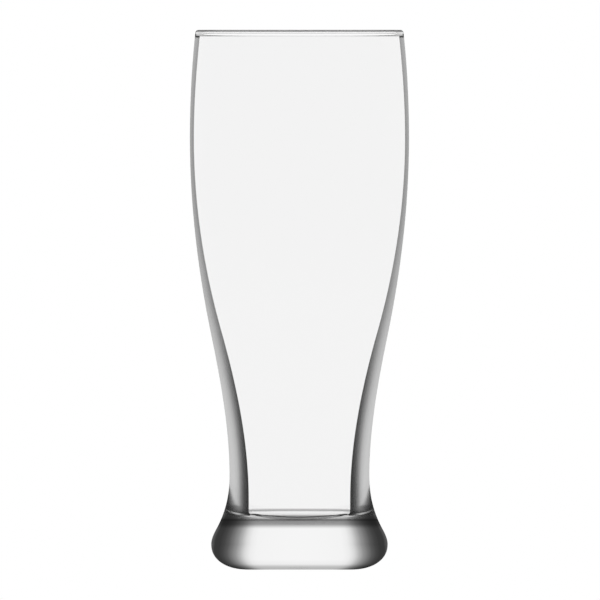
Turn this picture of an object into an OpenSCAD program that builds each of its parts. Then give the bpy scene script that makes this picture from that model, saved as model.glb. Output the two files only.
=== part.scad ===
// Footed pilsner glass: a solid flared foot, a double-curved bowl that thins towards the belly,
// and a fire-polished rim. The three are fused rings of one clear glass and share one section.
// Millimetres, +Z up, origin at the centre of the face that rests on the table.

/* [Overall] */
// Height from the table to the top of the rim
glass_h = 200; // [180:1:230]

/* [Foot] */
// Largest diameter of the foot
foot_d = 65.4; // [60:0.2:76]
// Height of the foot's largest diameter above the table
foot_h = 9.4; // [7:0.1:12]
// Fullness of the rounded heel below it: 2 is part of an ellipse, more is squarer
heel_fullness = 2.2; // [1.8:0.1:3]
// Step in from the foot's edge to where its shoulder turns from full to hollow
shoulder_in = 2; // [1:0.1:3]
// Height of that turn above the foot's largest diameter
shoulder_rise = 5.85; // [4.5:0.05:8]
// Lean of the shoulder there, in degrees from upright
shoulder_lean = 28.5; // [18:0.5:36]
// Outer diameter of the flat ring that rests on the table
bearing_d = 38; // [32:0.5:48]
// Width of the flat ring that rests on the table
bearing_w = 3; // [1.5:0.1:6]
// Height of the hollow under the foot, at the centre
kick_h = 2.2; // [0.4:0.1:4]

/* [Bowl] */
// Outer diameter at the waist, the narrowest place
waist_d = 51.8; // [46:0.2:56]
// Height of the waist above the table
waist_h = 34.8; // [30:0.2:42]
// Outer diameter half way up the flank, where the curve turns from hollow to full
flank_d = 65.8; // [60:0.2:72]
// Height of that turn above the table
flank_h = 88; // [76:1:104]
// Lean of the flank there, in degrees from upright
flank_lean = 11.6; // [6:0.2:16]
// Outer diameter at the belly, the widest place
belly_d = 81.2; // [76:0.2:90]
// Drop from the top of the rim down to the belly
belly_drop = 40; // [28:1:56]

/* [Wall] */
// Wall thickness at the belly
belly_wall = 1.45; // [1:0.05:2.5]
// Wall thickness at the turn of the flank
flank_wall = 4.05; // [2:0.05:6]
// Lean of the cavity's flank, in degrees from upright
cavity_lean = 15.8; // [10:0.2:20]

/* [Floor] */
// Diameter of the throat, the narrow upright part of the cavity
throat_d = 37.6; // [32:0.2:42]
// Height above the table where the throat starts to widen
throat_h = 26; // [23:0.5:32]
// Height of the cavity's lowest point above the table
floor_h = 16.5; // [12:0.1:20]
// Radius of curvature of the dished floor
floor_r = 46; // [34:1:400]
// Radius of the corner between the floor and the wall
corner_r = 1.5; // [1:0.1:4]

/* [Rim] */
// Outer diameter of the rim
rim_d = 77.2; // [70:0.2:86]
// Thickness of the round bead along the rim
bead_w = 2.4; // [2:0.1:3.2]
// Wall thickness just under the bead
lip_wall = 1.65; // [1.2:0.05:1.9]
// Inward lean of the wall at the rim, in degrees from upright
lip_lean = 6; // [0:0.5:12]

/* [Hidden] */
$fn = 96;
glass_colour = [0.88, 0.92, 0.92, 0.6];

// Points along each kind of curve
bowl_steps = 18;
arc_steps = 10;

// Radii
foot_r = foot_d / 2;
waist_r = waist_d / 2;
flank_r = flank_d / 2;
belly_r = belly_d / 2;
bead_r = bead_w / 2;
bearing_r = bearing_d / 2;
kick_edge_r = bearing_r - bearing_w;
throat_r = throat_d / 2;

// A station is [radius, height, change of radius with height]
foot_edge = [foot_r, foot_h, 0];
shoulder = [foot_r - shoulder_in, foot_h + shoulder_rise, -tan(shoulder_lean)];
waist = [waist_r, waist_h, 0];
flank = [flank_r, flank_h, tan(flank_lean)];
belly = [belly_r, glass_h - belly_drop, 0];
bead_centre = [rim_d / 2 - bead_r, glass_h - bead_r];
lip = [
    bead_centre.x + bead_r * cos(lip_lean),
    bead_centre.y + bead_r * sin(lip_lean),
    -tan(lip_lean),
];

// The floor's dish and its corner touch where the line through their centres meets them
corner_x = throat_r - corner_r;
dish_angle = asin(corner_x / (floor_r - corner_r));
dish_centre = [0, floor_h + floor_r];
corner_centre = [corner_x, dish_centre.y - (floor_r - corner_r) * cos(dish_angle)];

// The hollow under the foot is part of a sphere
kick_r = (kick_edge_r ^ 2 + kick_h ^ 2) / (2 * kick_h);
kick_angle = asin(kick_edge_r / kick_r);

// The bead's inside runs on round, past its innermost place, until it meets the wall's inside
bead_turn = acos((lip_wall - bead_r) / bead_r);

// Fused lines: the foot ends where the cavity's wall turns upright, the bowl where the bead starts
foot_top = corner_centre.y;
bowl_top = bead_centre.y - bead_r * sin(bead_turn);

// Stations of the cavity
throat = [throat_r, throat_h, 0];
cavity_flank = [flank_r - flank_wall, flank_h, tan(cavity_lean)];
cavity_belly = [belly_r - belly_wall, belly.y, 0];
neck = [rim_d / 2 - lip_wall, bowl_top, -tan(lip_lean)];

// Radius at height z on the cubic between two stations
function curve_at(a, b, z) =
    let (
        span = b.y - a.y,
        t = (z - a.y) / span
    )
    (2 * t ^ 3 - 3 * t ^ 2 + 1) * a.x + (t ^ 3 - 2 * t ^ 2 + t) * span * a.z
    + (3 * t ^ 2 - 2 * t ^ 3) * b.x + (t ^ 3 - t ^ 2) * span * b.z;

// Points on that cubic, without its last one, in the order from a to b
function curve(a, b, steps) = [
    for (i = [0 : steps - 1])
        let (z = a.y + (b.y - a.y) * i / steps)
        [curve_at(a, b, z), z]
];

// A cosine or sine bent for a fuller arc: with fullness 2 it stays as it is
function fuller(value, fullness) = sign(value) * abs(value) ^ (2 / fullness);

// Points on an elliptic arc from angle a0 to a1, without its last one
function arc(centre, rx, ry, a0, a1, fullness = 2) = [
    for (i = [0 : arc_steps - 1])
        let (a = a0 + (a1 - a0) * i / arc_steps)
        [centre.x + rx * fuller(cos(a), fullness), centre.y + ry * fuller(sin(a), fullness)]
];

outside = concat(
    arc([bearing_r, foot_h], foot_r - bearing_r, foot_h, -90, 0, heel_fullness),
    curve(foot_edge, shoulder, arc_steps),
    curve(shoulder, waist, bowl_steps),
    curve(waist, flank, bowl_steps),
    curve(flank, belly, bowl_steps),
    curve(belly, lip, bowl_steps)
);
inside = concat(
    arc(bead_centre, bead_r, bead_r, lip_lean, 90),
    arc(bead_centre, bead_r, bead_r, 90, 180 + bead_turn),
    curve(neck, cavity_belly, bowl_steps),
    curve(cavity_belly, cavity_flank, bowl_steps),
    curve(cavity_flank, throat, bowl_steps),
    [[throat_r, throat_h]],
    arc(corner_centre, corner_r, corner_r, 0, dish_angle - 90),
    arc(dish_centre, floor_r, floor_r, dish_angle - 90, -90),
    [[0, floor_h]]
);
underside = concat(
    arc([0, kick_h - kick_r], kick_r, kick_r, 90, 90 - kick_angle),
    [[kick_edge_r, 0]]
);

// Half section of the whole glass, from the table up the outside and down the inside
module section() {
    polygon(concat(outside, inside, underside));
}

// The ring of glass between two heights
module fused_ring(bottom, top) {
    color(glass_colour)
        rotate_extrude()
            intersection() {
                section();
                translate([0, bottom])
                    square([max(belly_d, foot_d, rim_d), top - bottom]);
            }
}

module foot() {
    fused_ring(0, foot_top);
}

module bowl() {
    fused_ring(foot_top, bowl_top);
}

module rim_bead() {
    fused_ring(bowl_top, glass_h);
}

foot();
bowl();
rim_bead();
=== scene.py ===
from math import acos, asin, copysign, cos, pi, radians, sin, tan

import bpy
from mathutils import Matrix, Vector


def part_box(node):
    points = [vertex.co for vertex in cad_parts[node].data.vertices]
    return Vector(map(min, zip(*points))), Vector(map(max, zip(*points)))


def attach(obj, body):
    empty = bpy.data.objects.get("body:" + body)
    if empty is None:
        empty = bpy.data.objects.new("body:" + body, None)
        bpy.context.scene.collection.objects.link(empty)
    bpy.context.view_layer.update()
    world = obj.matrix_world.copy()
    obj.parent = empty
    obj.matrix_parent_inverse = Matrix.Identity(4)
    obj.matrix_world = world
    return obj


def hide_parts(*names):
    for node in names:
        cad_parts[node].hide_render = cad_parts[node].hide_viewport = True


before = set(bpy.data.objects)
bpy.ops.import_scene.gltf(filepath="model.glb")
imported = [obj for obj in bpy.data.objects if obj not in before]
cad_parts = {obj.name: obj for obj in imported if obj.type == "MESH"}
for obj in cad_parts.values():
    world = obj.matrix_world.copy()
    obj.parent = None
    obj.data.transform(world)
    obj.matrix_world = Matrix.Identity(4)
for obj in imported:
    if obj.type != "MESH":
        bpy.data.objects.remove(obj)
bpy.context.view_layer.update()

# Sizes that the CAD nodes give, in metres
FOOT_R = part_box("foot")[1].x
BELLY_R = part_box("bowl")[1].x
GLASS_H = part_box("rim_bead")[1].z

# Sizes inside those boxes, the same as the solids have, in metres
FOOT_H = 0.0094
HEEL_FULLNESS = 2.2
SHOULDER_IN = 0.002
SHOULDER_RISE = 0.00585
SHOULDER_LEAN = radians(28.5)
BEARING_R = 0.019
BEARING_W = 0.003
KICK_H = 0.0022
WAIST_R = 0.0259
WAIST_H = 0.0348
FLANK_R = 0.0329
FLANK_H = 0.088
FLANK_LEAN = radians(11.6)
BELLY_DROP = 0.040
BELLY_H = GLASS_H - BELLY_DROP
BELLY_WALL = 0.00145
FLANK_WALL = 0.00405
CAVITY_LEAN = radians(15.8)
THROAT_R = 0.0188
THROAT_H = 0.026
FLOOR_H = 0.0165
FLOOR_R = 0.046
CORNER_R = 0.0015
RIM_R = 0.0386
BEAD_R = 0.0012
LIP_WALL = 0.00165
LIP_LEAN = radians(6)

# Mesh fineness: steps along each curve of the section, and round the axis
BOWL_STEPS = 60
ARC_STEPS = 24
ROUND_STEPS = 192
# A ring of points with a smaller radius is one point on the axis
AXIS_R = 1e-9
# Edges that turn by more than this stay sharp
SHARP_TURN = radians(40)

# Kinds of face on each mesh, which are also its material slots: outside, in a hollow, where rings of glass
# are fused, and where the foot stands on the table
OUTSIDE, HOLLOW, FUSED, STANDING = range(4)


def curve_at(a, b, z):
    """Radius at height z on the cubic between two stations (radius, height, slope)."""
    span = b[1] - a[1]
    t = (z - a[1]) / span
    return (
        (2 * t**3 - 3 * t**2 + 1) * a[0] + (t**3 - 2 * t**2 + t) * span * a[2]
        + (3 * t**2 - 2 * t**3) * b[0] + (t**3 - t**2) * span * b[2]
    )


def curve(a, b):
    """Points on that cubic from a up to b, without the last one."""
    heights = [a[1] + (b[1] - a[1]) * i / BOWL_STEPS for i in range(BOWL_STEPS)]
    return [(curve_at(a, b, z), z) for z in heights]


def arc(centre, rx, ry, start, end, fullness=2):
    """Points on an elliptic arc between two angles, without the last. Fullness over 2 squares it out."""
    angles = [start + (end - start) * i / ARC_STEPS for i in range(ARC_STEPS)]
    return [
        (
            centre[0] + rx * copysign(abs(cos(a)) ** (2 / fullness), cos(a)),
            centre[1] + ry * copysign(abs(sin(a)) ** (2 / fullness), sin(a)),
        )
        for a in angles
    ]


def glass_section():
    """The outside and the cavity as rising points, the underside from the axis out, the fused heights."""
    foot = (FOOT_R, FOOT_H, 0)
    shoulder = (FOOT_R - SHOULDER_IN, FOOT_H + SHOULDER_RISE, -tan(SHOULDER_LEAN))
    waist = (WAIST_R, WAIST_H, 0)
    flank = (FLANK_R, FLANK_H, tan(FLANK_LEAN))
    belly = (BELLY_R, BELLY_H, 0)
    bead = (RIM_R - BEAD_R, GLASS_H - BEAD_R)
    lip = (bead[0] + BEAD_R * cos(LIP_LEAN), bead[1] + BEAD_R * sin(LIP_LEAN), -tan(LIP_LEAN))
    outside = [
        *arc((BEARING_R, FOOT_H), FOOT_R - BEARING_R, FOOT_H, -pi / 2, 0, HEEL_FULLNESS),
        *curve(foot, shoulder),
        *curve(shoulder, waist),
        *curve(waist, flank),
        *curve(flank, belly),
        *curve(belly, lip),
        *arc(bead, BEAD_R, BEAD_R, LIP_LEAN, pi / 2),
        (bead[0], GLASS_H),
    ]

    dish = (0, FLOOR_H + FLOOR_R)
    corner_x = THROAT_R - CORNER_R
    dish_angle = asin(corner_x / (FLOOR_R - CORNER_R))
    corner = (corner_x, dish[1] - (FLOOR_R - CORNER_R) * cos(dish_angle))
    foot_top = corner[1]
    bead_turn = acos((LIP_WALL - BEAD_R) / BEAD_R)
    bowl_top = bead[1] - BEAD_R * sin(bead_turn)
    throat = (THROAT_R, THROAT_H, 0)
    cavity_flank = (FLANK_R - FLANK_WALL, FLANK_H, tan(CAVITY_LEAN))
    cavity_belly = (BELLY_R - BELLY_WALL, BELLY_H, 0)
    neck = (RIM_R - LIP_WALL, bowl_top, -tan(LIP_LEAN))
    cavity = [
        *arc(dish, FLOOR_R, FLOOR_R, -pi / 2, dish_angle - pi / 2),
        *arc(corner, CORNER_R, CORNER_R, dish_angle - pi / 2, 0),
        (THROAT_R, foot_top),
        *curve(throat, cavity_flank),
        *curve(cavity_flank, cavity_belly),
        *curve(cavity_belly, neck),
        *arc(bead, BEAD_R, BEAD_R, pi + bead_turn, pi / 2),
    ]

    kick_edge = BEARING_R - BEARING_W
    kick_r = (kick_edge**2 + KICK_H**2) / (2 * KICK_H)
    kick_angle = asin(kick_edge / kick_r)
    underside = [*arc((0, KICK_H - kick_r), kick_r, kick_r, pi / 2, pi / 2 - kick_angle), (kick_edge, 0)]
    return outside, cavity, underside, foot_top, bowl_top


def stretch(points, low, high):
    """The part of a rising list of points between two heights, with its ends cut exactly there."""
    kept = []
    for (r0, z0), (r1, z1) in zip(points, points[1:]):
        for height in (low, high):
            if z0 < height < z1:
                kept.append((r0 + (r1 - r0) * (height - z0) / (z1 - z0), height))
        if low <= z1 <= high:
            kept.append((r1, z1))
    if low <= points[0][1] <= high:
        kept.insert(0, points[0])
    return sorted(kept, key=lambda p: p[1])


def revolve(name, outline, hollow, fused_heights):
    """A closed mesh: the outline turned round the axis. Each face takes the material slot of its kind."""
    verts = []
    rings = []
    for r, z in outline:
        count = 1 if r < AXIS_R else ROUND_STEPS
        rings.append(range(len(verts), len(verts) + count))
        verts += [(r * cos(2 * pi * k / count), r * sin(2 * pi * k / count), z) for k in range(count)]
    faces = []
    kinds = []
    for i, low in enumerate(rings):
        j = (i + 1) % len(rings)
        high = rings[j]
        if len(low) == 1 and len(high) == 1:
            continue
        heights = {outline[i][1], outline[j][1]}
        if heights == {0}:
            kind = STANDING
        elif len(heights) == 1 and heights <= fused_heights:
            kind = FUSED
        elif {outline[i], outline[j]} <= hollow:
            kind = HOLLOW
        else:
            kind = OUTSIDE
        for k in range(ROUND_STEPS):
            n = (k + 1) % ROUND_STEPS
            corners = [low[k % len(low)], low[n % len(low)], high[n % len(high)], high[k % len(high)]]
            faces.append(list(dict.fromkeys(corners)))
            kinds.append(kind)
    mesh = bpy.data.meshes.new(name)
    mesh.from_pydata(verts, [], faces)
    mesh.polygons.foreach_set("material_index", kinds)
    mesh.shade_smooth()
    mesh.set_sharp_from_angle(angle=SHARP_TURN)
    piece = bpy.data.objects.new(name, mesh)
    bpy.context.scene.collection.objects.link(piece)
    return piece


def add_node(tree, kind, sockets=None, **settings):
    """A new shader node. Sockets maps an input's name or number to a value or to another node's output."""
    node = tree.nodes.new("ShaderNode" + kind)
    for name, setting in settings.items():
        setattr(node, name, setting)
    for key, source in (sockets or {}).items():
        if isinstance(source, bpy.types.NodeSocket):
            tree.links.new(source, node.inputs[key])
        else:
            node.inputs[key].default_value = source
    return node


def maths(tree, operation, *values):
    """The result of one Math operation on values or other nodes' outputs."""
    return add_node(tree, "Math", dict(enumerate(values)), operation=operation).outputs[0]


def ramp(tree, value, tones):
    """Tones by a value: a colour ramp with a stop for each key of tones, from the lowest to the highest."""
    low, high = min(tones), max(tones)
    spread = add_node(tree, "MapRange", {"Value": value, "From Min": low, "From Max": high})
    node = add_node(tree, "ValToRGB", {0: spread.outputs[0]})
    stops = node.color_ramp.elements
    stops.remove(stops[1])
    for key, tone in tones.items():
        stop = stops[0] if key == low else stops.new((key - low) / (high - low))
        stop.color = (tone, tone, tone, 1)
    return node.outputs["Color"]


def empty_material(name):
    """A new material without nodes, and its tree."""
    material = bpy.data.materials.new(name)
    material.use_nodes = True
    material.node_tree.nodes.clear()
    return material, material.node_tree


# Glass: its index and tint, the least share that it mirrors, and the power of Fresnel's share that keeps
# the rest low until the line of sight grazes the face
GLASS_IOR = 1.52
GLASS_TINT = (0.984, 0.984, 0.984, 1)
MIRROR_LEAST = 0.015
MIRROR_POWER = 10

# The tones below are painted shade and painted light on the glass, fitted to the photo, not physical: the
# surround is white, so nothing dark is there to mirror or bend. Those by how far a face turns follow the
# line of sight, by Layer Weight

# Painted shade on the light mirrored off the outside, by height: painted darker on the thin upper wall than
# on the lower one
PAINTED_MIRROR_SHADE = {0: 0.6, 0.1: 0.6, 0.125: 0.43, 0.2: 0.46}
# Painted shade on the light mirrored inside the glass, by how far the face turns from the bent line of sight
# plus a lift by height:
# the wall's inner edge is painted dark, and the bead painted light over a thin painted dark ring
PAINTED_INNER_SHADE = {
    0.26: 0.04, 0.28: 0.046, 0.3: 0.075, 0.32: 0.115, 0.34: 0.2, 0.36: 0.29, 0.38: 0.41,
    0.4: 0.49, 0.42: 0.54, 0.46: 0.6, 0.62: 0.6, 0.72: 0.95, 1: 0.95,
}
PAINTED_INNER_LIFT = {
    0: 0, 0.029: 0.002, 0.04: 0.02, 0.053: 0.04, 0.07: 0.06, 0.09: 0.092, 0.112: 0.106, 0.15: 0.112,
    0.1969: 0.12, 0.1977: 0, 0.1985: 0.42, 0.2: 0.42,
}
# Painted shade where the line of sight enters the outside, by how far the face turns sideways from it less a
# shift by
# height: the solid foot is painted darker to its sides, and the bowl is clear
PAINTED_SIDE_SHADE = {
    -1.1: 1, -0.1: 1, 0: 0.965, 0.12: 0.945, 0.16: 0.885, 0.2: 0.72, 0.24: 0.48, 0.286: 0.295, 0.34: 0.178,
    0.4: 0.095, 0.473: 0.053, 0.564: 0.032, 0.7: 0.032, 0.8: 0.081, 1: 0.102,
}
PAINTED_SIDE_SHIFT = {
    0.0202: 0, 0.0212: 0.05, 0.022: 0.14, 0.0234: 0.2, 0.0242: 0.3, 0.0295: 0.56, 0.033: 0.85, 0.04: 1.1,
}
# More of that shift in a thin painted highlight, a bright streak at the bowl's foot, by height less a rise
# for each unit of turn
PAINTED_STREAK_SHIFT = {0.0186: 0, 0.0189: 0.23, 0.0193: 0.23, 0.0196: 0}
PAINTED_STREAK_RISE = 0.0038
# Share of the sideways turn that counts for the painted side shade, by height: less where the heel rounds in
# under the foot's edge
PAINTED_SIDE_EASE = {0.0012: 0.78, 0.003: 0.8, 0.0049: 0.84, 0.0067: 0.9, 0.0094: 1}
# Painted shade where it enters the outside, by height: a painted dark band where the flare rises from the
# shoulder
PAINTED_FLARE_SHADE = {
    0.015: 1, 0.0154: 0.94, 0.0158: 0.77, 0.0162: 0.6, 0.0166: 0.42, 0.017: 0.34, 0.0179: 0.3, 0.0183: 0.15,
    0.0186: 0.2, 0.019: 0.5, 0.0198: 0.7, 0.0206: 0.9, 0.0214: 1,
}
# Painted shade where it enters the cavity's wall, by height: a thin painted dark line where the wall meets
# the floor
PAINTED_CORNER_SHADE = {0.021: 1, 0.0214: 0.6, 0.0217: 0.38, 0.022: 0.6, 0.0225: 1}
# Painted shade where it enters, by how level a face lies: under the heel and on the rim
PAINTED_HEEL_SHADE = {0: 1, 0.7: 1, 0.87: 0.93, 0.945: 0.57, 1: 0.5}
PAINTED_RIM_SHADE = {0: 1, 0.3: 1, 0.45: 0.37, 1: 0.25}
# The sideways turn is below 0 where a face tilts towards the eye, as in a view from above the rim or the
# flare. There the painted shade of flare, heel and rim fades: gone at the first turn, whole at the second
FADE_FROM = -0.12
FADE_TO = -0.01
# Share of a face's up and down tilt that bends light, by height: the photo's foot and walls bend it
# mostly sideways. Level faces keep it all, but not those on the outside of the foot and bowl.
TILT_KEPT = {0.194: 0.05, 0.1985: 0.45, 0.1993: 1}
LEVEL_FROM = 0.85
LEVEL_TO = 0.96
# Ripples from the mould and the fire: drawn out upright, a few micrometres deep
RIPPLE_SCALE = 90
RIPPLE_STRETCH = 0.3
RIPPLE_DETAIL = 1
RIPPLE_DEPTH = 0.000003
# The ring on the table is worn dull by use
WORN_SCALE = 2500
WORN_LEAST = 0.05
WORN_MOST = 0.35


def calmed_normal(tree, coords, kept):
    """The face's own normal with only a share of its tilt up or down."""
    normal = add_node(tree, "SeparateXYZ", {0: coords.outputs["Normal"]})
    joined = add_node(tree, "CombineXYZ", {
        "X": normal.outputs["X"],
        "Y": normal.outputs["Y"],
        "Z": maths(tree, "MULTIPLY", normal.outputs["Z"], kept),
    })
    turned = add_node(tree, "VectorTransform", {
        0: joined.outputs[0],
    }, vector_type="NORMAL", convert_from="OBJECT", convert_to="WORLD")
    return add_node(tree, "VectorMath", {0: turned.outputs[0]}, operation="NORMALIZE").outputs[0]


def rippled_normal(tree, coords, kept):
    """The calmed normal with fine ripples on it."""
    drawn = add_node(tree, "Mapping", {"Vector": coords.outputs["Object"], "Scale": (1, 1, RIPPLE_STRETCH)})
    ripple = add_node(tree, "TexNoise", {
        "Vector": drawn.outputs[0],
        "Scale": RIPPLE_SCALE,
        "Detail": RIPPLE_DETAIL,
    })
    return add_node(tree, "Bump", {
        "Strength": 1,
        "Distance": RIPPLE_DEPTH,
        "Height": ripple.outputs[0],
        "Normal": calmed_normal(tree, coords, kept),
    }).outputs[0]


def sideways_turn(tree, level):
    """How far a face turns sideways from the line of sight, up to 1, without what its tilt adds."""
    turned = add_node(tree, "LayerWeight").outputs["Facing"]
    outward = maths(tree, "SQRT", maths(tree, "SUBTRACT", 1, maths(tree, "POWER", level, 2)))
    straight = maths(tree, "SUBTRACT", 1, turned)
    return maths(tree, "SUBTRACT", 1, maths(tree, "DIVIDE", straight, outward))


def painted_side_shade(tree, aside, height):
    """Painted shade on the foot's sides, with a painted bright streak at the bowl's foot."""
    eased = maths(tree, "MULTIPLY", aside, ramp(tree, height, PAINTED_SIDE_EASE))
    slope = maths(tree, "MULTIPLY_ADD", aside, -PAINTED_STREAK_RISE, height)
    shift = maths(tree, "ADD", ramp(tree, height, PAINTED_SIDE_SHIFT), ramp(tree, slope, PAINTED_STREAK_SHIFT))
    return ramp(tree, maths(tree, "SUBTRACT", eased, shift), PAINTED_SIDE_SHADE)


def worn_roughness(tree, coords):
    """Fine dull grain."""
    grain = add_node(tree, "TexNoise", {"Vector": coords.outputs["Object"], "Scale": WORN_SCALE})
    return add_node(tree, "MapRange", {
        "Value": grain.outputs[0],
        "To Min": WORN_LEAST,
        "To Max": WORN_MOST,
    }).outputs[0]


def clear_glass(name, painted_level_shade=None, sides=False, corner=False, worn=False):
    """Colourless glass that bends light, and mirrors it at grazing angles and from inside, with painted
    shade on what it bends and mirrors. The level tones paint shade on its level faces. Sides paints shade on
    the outside of the foot and bowl, and needs them. Corner paints a dark line round the cavity's floor."""
    material, tree = empty_material(name)
    coords = add_node(tree, "TexCoord")
    height = add_node(tree, "SeparateXYZ", {0: coords.outputs["Object"]}).outputs["Z"]
    upright = add_node(tree, "SeparateXYZ", {0: coords.outputs["Normal"]}).outputs["Z"]
    level = maths(tree, "ABSOLUTE", upright)
    calm = ramp(tree, height, TILT_KEPT)
    kept = calm if sides else add_node(tree, "MapRange", {
        "Value": level,
        "From Min": LEVEL_FROM,
        "From Max": LEVEL_TO,
        "To Min": calm,
    }, interpolation_type="SMOOTHSTEP").outputs[0]
    normal = rippled_normal(tree, coords, kept)
    roughness = worn_roughness(tree, coords) if worn else 0

    from_inside = add_node(tree, "NewGeometry").outputs["Backfacing"]
    entering = maths(tree, "SUBTRACT", 1, from_inside)
    # Painted shade, multiplied into the tint of the light the glass bends
    shade_layers = []
    if painted_level_shade:
        aside = sideways_turn(tree, level)
        fade = add_node(tree, "MapRange", {"Value": aside, "From Min": FADE_FROM, "From Max": FADE_TO})
        fading = maths(tree, "MULTIPLY", entering, fade.outputs[0])
        shade_layers.append((fading, ramp(tree, level, painted_level_shade)))
        if sides:
            shade_layers.append((entering, painted_side_shade(tree, aside, height)))
            shade_layers.append((fading, ramp(tree, height, PAINTED_FLARE_SHADE)))
    if corner:
        shade_layers.append((entering, ramp(tree, height, PAINTED_CORNER_SHADE)))
    bend_tint_and_shade = GLASS_TINT
    for strength, tone in shade_layers:
        bend_tint_and_shade = add_node(tree, "Mix", {
            "Factor": strength,
            "A": bend_tint_and_shade,
            "B": tone,
        }, data_type="RGBA", blend_type="MULTIPLY").outputs["Result"]

    # Painted shade on the mirrored light: by height off the outside, by turn and height inside the glass
    inside_turn = add_node(tree, "LayerWeight", {"Normal": normal}).outputs["Facing"]
    lifted = maths(tree, "ADD", inside_turn, ramp(tree, height, PAINTED_INNER_LIFT))
    mirror_painted_shade = add_node(tree, "Mix", {
        "Factor": from_inside,
        "A": ramp(tree, height, PAINTED_MIRROR_SHADE),
        "B": ramp(tree, lifted, PAINTED_INNER_SHADE),
    }, data_type="RGBA")
    bend = add_node(tree, "BsdfRefraction", {
        "Color": bend_tint_and_shade,
        "Roughness": roughness,
        "IOR": GLASS_IOR,
        "Normal": normal,
    })
    mirror = add_node(tree, "BsdfGlossy", {
        "Color": mirror_painted_shade.outputs["Result"],
        "Roughness": roughness,
        "Normal": normal,
    })
    grazing = add_node(tree, "Fresnel", {"IOR": GLASS_IOR, "Normal": normal})
    share = maths(tree, "MAXIMUM", maths(tree, "POWER", grazing.outputs[0], MIRROR_POWER), MIRROR_LEAST)
    mix = add_node(tree, "MixShader", {0: share, 1: bend.outputs[0], 2: mirror.outputs[0]})
    add_node(tree, "OutputMaterial", {"Surface": mix.outputs[0]})
    return material


def fused_face(name):
    """Where two rings of glass are one in the real object, light passes straight on."""
    material, tree = empty_material(name)
    clear = add_node(tree, "BsdfTransparent")
    add_node(tree, "OutputMaterial", {"Surface": clear.outputs[0]})
    return material


outside, cavity, underside, FOOT_TOP, BOWL_TOP = glass_section()
outlines = {
    "foot": stretch(outside, 0, FOOT_TOP) + stretch(cavity, FLOOR_H, FOOT_TOP)[::-1] + underside,
    "bowl": stretch(outside, FOOT_TOP, BOWL_TOP) + stretch(cavity, FOOT_TOP, BOWL_TOP)[::-1],
    "rim_bead": stretch(outside, BOWL_TOP, GLASS_H) + stretch(cavity, BOWL_TOP, GLASS_H)[::-1],
}
# Every glass carries painted shade on the light it mirrors; the outer glass also on its heel, sides and
# flare, the inner glass a painted dark line at the corner, the rim glass painted shade by how level it lies
outer_glass = clear_glass("outer_glass", PAINTED_HEEL_SHADE, sides=True)
inner_glass = clear_glass("inner_glass", corner=True)
rim_glass = clear_glass("rim_glass", PAINTED_RIM_SHADE)
worn_ring = clear_glass("worn_ring", worn=True)
fused = fused_face("fused_face")
# In the order of the kinds of face
materials = {
    "foot": [outer_glass, inner_glass, fused, worn_ring],
    "bowl": [outer_glass, inner_glass, fused],
    "rim_bead": [rim_glass, rim_glass, fused],
}
for node, outline in outlines.items():
    piece = revolve("glass_" + node, outline, {*cavity, *underside}, {FOOT_TOP, BOWL_TOP})
    for material in materials[node]:
        piece.data.materials.append(material)
    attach(piece, "root")
    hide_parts(node)

# Camera: level and without perspective, because the rim and the foot both look straight in the photo.
# In its pixels: the frame's side, the glass's height, the height of the frame's centre above the table,
# and how far the glass's axis lies left of that centre
FRAME_PIXELS = 600
GLASS_PIXELS = 539.7
CENTRE_PIXELS = 269.6
AXIS_PIXELS = 0.55
PIXEL = GLASS_H / GLASS_PIXELS
CAMERA_DISTANCE = 1.0
camera_data = bpy.data.cameras.new("camera")
camera_data.type = "ORTHO"
camera_data.ortho_scale = FRAME_PIXELS * PIXEL
camera = bpy.data.objects.new("camera", camera_data)
bpy.context.scene.collection.objects.link(camera)
camera.location = (AXIS_PIXELS * PIXEL, -CAMERA_DISTANCE, CENTRE_PIXELS * PIXEL)
camera.rotation_euler = (pi / 2, 0, 0)
bpy.context.scene.camera = camera

# World: even white
WHITE = (1, 1, 1, 1)
world = bpy.data.worlds.new("white")
world.use_nodes = True
world.node_tree.nodes["Background"].inputs["Color"].default_value = WHITE
bpy.context.scene.world = world
bpy.context.scene.view_settings.view_transform = "Standard"

# Floor under the glass: pale, half lit by itself. Only the camera sees it; through the glass the white
# surround shows
STAGE_R = 3.0
STAGE_STEPS = 96
STAGE_GAP = 0.0001
STAGE_GLOW = 0.5
bpy.ops.mesh.primitive_circle_add(vertices=STAGE_STEPS, radius=STAGE_R, fill_type="NGON")
floor = bpy.context.object
floor.name = "floor"
floor.location.z = -STAGE_GAP
floor_material = bpy.data.materials.new("floor")
floor_material.use_nodes = True
floor_shader = floor_material.node_tree.nodes["Principled BSDF"]
floor_shader.inputs["Base Color"].default_value = (1 - STAGE_GLOW, 1 - STAGE_GLOW, 1 - STAGE_GLOW, 1)
floor_shader.inputs["Roughness"].default_value = 1.0
floor_shader.inputs["Specular IOR Level"].default_value = 0.0
floor_shader.inputs["Emission Color"].default_value = WHITE
floor_shader.inputs["Emission Strength"].default_value = STAGE_GLOW
floor.data.materials.append(floor_material)
floor.visible_transmission = False
floor.visible_glossy = False

# Light may bounce many times inside the foot before it leaves
GLASS_BOUNCES = 48
cycles = bpy.context.scene.cycles
cycles.max_bounces = GLASS_BOUNCES
cycles.glossy_bounces = GLASS_BOUNCES
cycles.transmission_bounces = GLASS_BOUNCES
cycles.transparent_max_bounces = GLASS_BOUNCES
